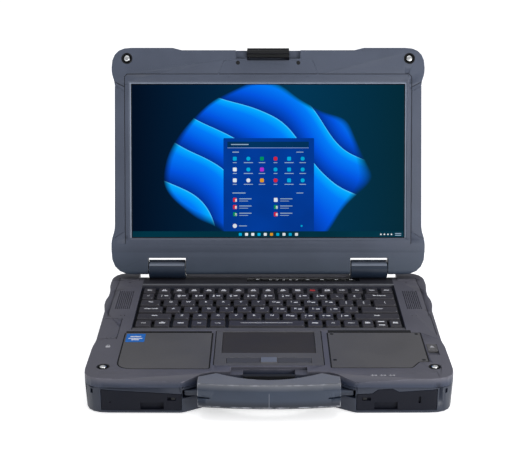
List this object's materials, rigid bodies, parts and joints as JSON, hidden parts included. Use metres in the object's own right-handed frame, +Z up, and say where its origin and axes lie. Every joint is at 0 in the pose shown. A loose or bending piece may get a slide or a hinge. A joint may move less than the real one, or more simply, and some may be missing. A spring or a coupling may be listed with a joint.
{
  "type": "laptop computer",
  "caption": "Rugged clamshell laptop with front carry handle, hinged lid and screen, keyboard, touchpad, palm panels, removable batteries and port covers.",
  "frame": {"origin": "on the table, under the middle of the box around the open laptop", "axes": "+X to the user's right, +Y away from the user, +Z up"},
  "size_m": [0.3558, 0.3615, 0.2892],
  "materials": {
    "case_metal": "matte",
    "door_plastic": "matte",
    "lid_metal": "matte",
    "lid_plastic": "matte",
    "palm_plastic": "matte",
    "pad_plastic": "satin",
    "key_plastic": "satin",
    "dark_plastic": "matte",
    "gloss_dark": "gloss",
    "hinge_metal": "satin",
    "screen_glass": "gloss",
    "rubber": "matte",
    "bright_steel": "polished",
    "circuit_board": "satin",
    "copper": "satin",
    "drive_metal": "satin"
  },
  "bodies": {
    "base": {"bottom_case": "case_metal", "top_cover": "case_metal", "carry_handle": "case_metal", "front_foot": "rubber", "rear_foot": "rubber", "latch_catch": "hinge_metal", "hinge_bracket_left": "hinge_metal", "hinge_bracket_right": "hinge_metal", "left_connectors": "dark_plastic", "right_connectors": "dark_plastic", "keyboard_plate": "dark_plastic", "touchpad_frame": "pad_plastic", "touchpad": "pad_plastic", "left_palm_panel": "palm_plastic", "right_palm_panel": "palm_plastic", "base_stud_left": "bright_steel", "base_stud_right": "bright_steel", "indicator_strip": "gloss_dark", "mainboard": "circuit_board", "heat_sink": "copper", "storage_drive": "drive_metal", "speaker_left": "dark_plastic", "speaker_right": "dark_plastic"},
    "lid": {"lid_shell": "lid_metal", "screen_bezel": "lid_plastic", "display_panel": "screen_glass", "latch_plate": "lid_plastic", "antenna_rail_left": "lid_plastic", "antenna_rail_right": "lid_plastic", "hinge_shaft_left": "bright_steel", "hinge_shaft_right": "bright_steel", "lid_stud_left": "bright_steel", "lid_stud_right": "bright_steel"},
    "lid_latch": {"lid_latch": "dark_plastic"},
    "function_keys": {"function_keys": "key_plastic"},
    "number_keys": {"number_keys": "key_plastic"},
    "backspace_key": {"backspace_key": "key_plastic"},
    "upper_letter_keys": {"upper_letter_keys": "key_plastic"},
    "home_row_keys": {"home_row_keys": "key_plastic"},
    "enter_key": {"enter_key": "key_plastic"},
    "left_shift_key": {"left_shift_key": "key_plastic"},
    "lower_letter_keys": {"lower_letter_keys": "key_plastic"},
    "right_shift_key": {"right_shift_key": "key_plastic"},
    "bottom_row_keys": {"bottom_row_keys": "key_plastic"},
    "space_key": {"space_key": "key_plastic"},
    "touchpad_button_left": {"touchpad_button_left": "pad_plastic"},
    "touchpad_button_right": {"touchpad_button_right": "pad_plastic"},
    "power_button": {"power_button": "dark_plastic"},
    "shortcut_button_1": {"shortcut_button_1": "dark_plastic"},
    "shortcut_button_2": {"shortcut_button_2": "dark_plastic"},
    "shortcut_button_3": {"shortcut_button_3": "dark_plastic"},
    "shortcut_button_4": {"shortcut_button_4": "dark_plastic"},
    "media_release": {"media_release": "palm_plastic"},
    "battery_left": {"battery_left": "door_plastic"},
    "battery_right": {"battery_right": "door_plastic"},
    "battery_latch_left": {"battery_latch_left": "dark_plastic"},
    "battery_latch_right": {"battery_latch_right": "dark_plastic"},
    "port_cover_left": {"port_cover_left": "door_plastic"},
    "port_cover_right": {"port_cover_right": "door_plastic"},
    "cooling_fan": {"cooling_fan": "dark_plastic"}
  },
  "joints": [
    {"name": "lid_hinge", "type": "hinge", "parent": "base", "child": "lid", "pos_m": [0, 0.1032, 0.046], "axis": [-1, 0, 0], "range_deg": [-106.2, 43.8]},
    {"name": "lid_latch_push", "type": "slide", "parent": "lid", "child": "lid_latch", "axis": [0, -0.279, -0.9603], "range_m": [0, 0.003], "stiffness_N_per_m": 250, "springref_m": -0.002},
    {"name": "function_keys_press", "type": "slide", "parent": "base", "child": "function_keys", "axis": [0, 0, 1], "range_m": [-0.002, 0], "stiffness_N_per_m": 300, "springref_m": 0.002},
    {"name": "number_keys_press", "type": "slide", "parent": "base", "child": "number_keys", "axis": [0, 0, 1], "range_m": [-0.002, 0], "stiffness_N_per_m": 300, "springref_m": 0.002},
    {"name": "backspace_key_press", "type": "slide", "parent": "base", "child": "backspace_key", "axis": [0, 0, 1], "range_m": [-0.002, 0], "stiffness_N_per_m": 250, "springref_m": 0.001},
    {"name": "upper_letter_keys_press", "type": "slide", "parent": "base", "child": "upper_letter_keys", "axis": [0, 0, 1], "range_m": [-0.002, 0], "stiffness_N_per_m": 300, "springref_m": 0.002},
    {"name": "home_row_keys_press", "type": "slide", "parent": "base", "child": "home_row_keys", "axis": [0, 0, 1], "range_m": [-0.002, 0], "stiffness_N_per_m": 300, "springref_m": 0.002},
    {"name": "enter_key_press", "type": "slide", "parent": "base", "child": "enter_key", "axis": [0, 0, 1], "range_m": [-0.002, 0], "stiffness_N_per_m": 250, "springref_m": 0.001},
    {"name": "left_shift_key_press", "type": "slide", "parent": "base", "child": "left_shift_key", "axis": [0, 0, 1], "range_m": [-0.002, 0], "stiffness_N_per_m": 250, "springref_m": 0.001},
    {"name": "lower_letter_keys_press", "type": "slide", "parent": "base", "child": "lower_letter_keys", "axis": [0, 0, 1], "range_m": [-0.002, 0], "stiffness_N_per_m": 300, "springref_m": 0.002},
    {"name": "right_shift_key_press", "type": "slide", "parent": "base", "child": "right_shift_key", "axis": [0, 0, 1], "range_m": [-0.002, 0], "stiffness_N_per_m": 250, "springref_m": 0.001},
    {"name": "bottom_row_keys_press", "type": "slide", "parent": "base", "child": "bottom_row_keys", "axis": [0, 0, 1], "range_m": [-0.002, 0], "stiffness_N_per_m": 300, "springref_m": 0.002},
    {"name": "space_key_press", "type": "slide", "parent": "base", "child": "space_key", "axis": [0, 0, 1], "range_m": [-0.002, 0], "stiffness_N_per_m": 250, "springref_m": 0.001},
    {"name": "touchpad_button_left_press", "type": "slide", "parent": "base", "child": "touchpad_button_left", "axis": [0, 0, 1], "range_m": [-0.0008, 0], "stiffness_N_per_m": 400, "springref_m": 0.001},
    {"name": "touchpad_button_right_press", "type": "slide", "parent": "base", "child": "touchpad_button_right", "axis": [0, 0, 1], "range_m": [-0.0008, 0], "stiffness_N_per_m": 400, "springref_m": 0.001},
    {"name": "power_button_press", "type": "slide", "parent": "base", "child": "power_button", "axis": [0, 0, 1], "range_m": [-0.0005, 0], "stiffness_N_per_m": 400, "springref_m": 0.001},
    {"name": "shortcut_button_1_press", "type": "slide", "parent": "base", "child": "shortcut_button_1", "axis": [0, 0, 1], "range_m": [-0.0005, 0], "stiffness_N_per_m": 400, "springref_m": 0.001},
    {"name": "shortcut_button_2_press", "type": "slide", "parent": "base", "child": "shortcut_button_2", "axis": [0, 0, 1], "range_m": [-0.0005, 0], "stiffness_N_per_m": 400, "springref_m": 0.001},
    {"name": "shortcut_button_3_press", "type": "slide", "parent": "base", "child": "shortcut_button_3", "axis": [0, 0, 1], "range_m": [-0.0005, 0], "stiffness_N_per_m": 400, "springref_m": 0.001},
    {"name": "shortcut_button_4_press", "type": "slide", "parent": "base", "child": "shortcut_button_4", "axis": [0, 0, 1], "range_m": [-0.0005, 0], "stiffness_N_per_m": 400, "springref_m": 0.001},
    {"name": "media_release_slide", "type": "slide", "parent": "base", "child": "media_release", "axis": [0, -1, 0], "range_m": [0, 0.006], "stiffness_N_per_m": 150, "springref_m": -0.002},
    {"name": "battery_left_pull", "type": "slide", "parent": "base", "child": "battery_left", "axis": [0, -1, 0], "range_m": [0, 0.115]},
    {"name": "battery_right_pull", "type": "slide", "parent": "base", "child": "battery_right", "axis": [0, -1, 0], "range_m": [0, 0.115]},
    {"name": "battery_latch_left_slide", "type": "slide", "parent": "battery_left", "child": "battery_latch_left", "axis": [-1, 0, 0], "range_m": [0, 0.003], "stiffness_N_per_m": 100, "springref_m": -0.002},
    {"name": "battery_latch_right_slide", "type": "slide", "parent": "battery_right", "child": "battery_latch_right", "axis": [1, 0, 0], "range_m": [0, 0.003], "stiffness_N_per_m": 100, "springref_m": -0.002},
    {"name": "port_cover_left_hinge", "type": "hinge", "parent": "base", "child": "port_cover_left", "pos_m": [-0.176, 0.0282, 0.008], "axis": [0, -1, 0], "range_deg": [0, 100]},
    {"name": "port_cover_right_hinge", "type": "hinge", "parent": "base", "child": "port_cover_right", "pos_m": [0.176, 0.0282, 0.008], "axis": [0, 1, 0], "range_deg": [0, 100]},
    {"name": "fan_spin", "type": "hinge", "parent": "base", "child": "cooling_fan", "pos_m": [-0.118, 0.0572, 0.0137], "axis": [0, 0, 1], "continuous": true}
  ]
}
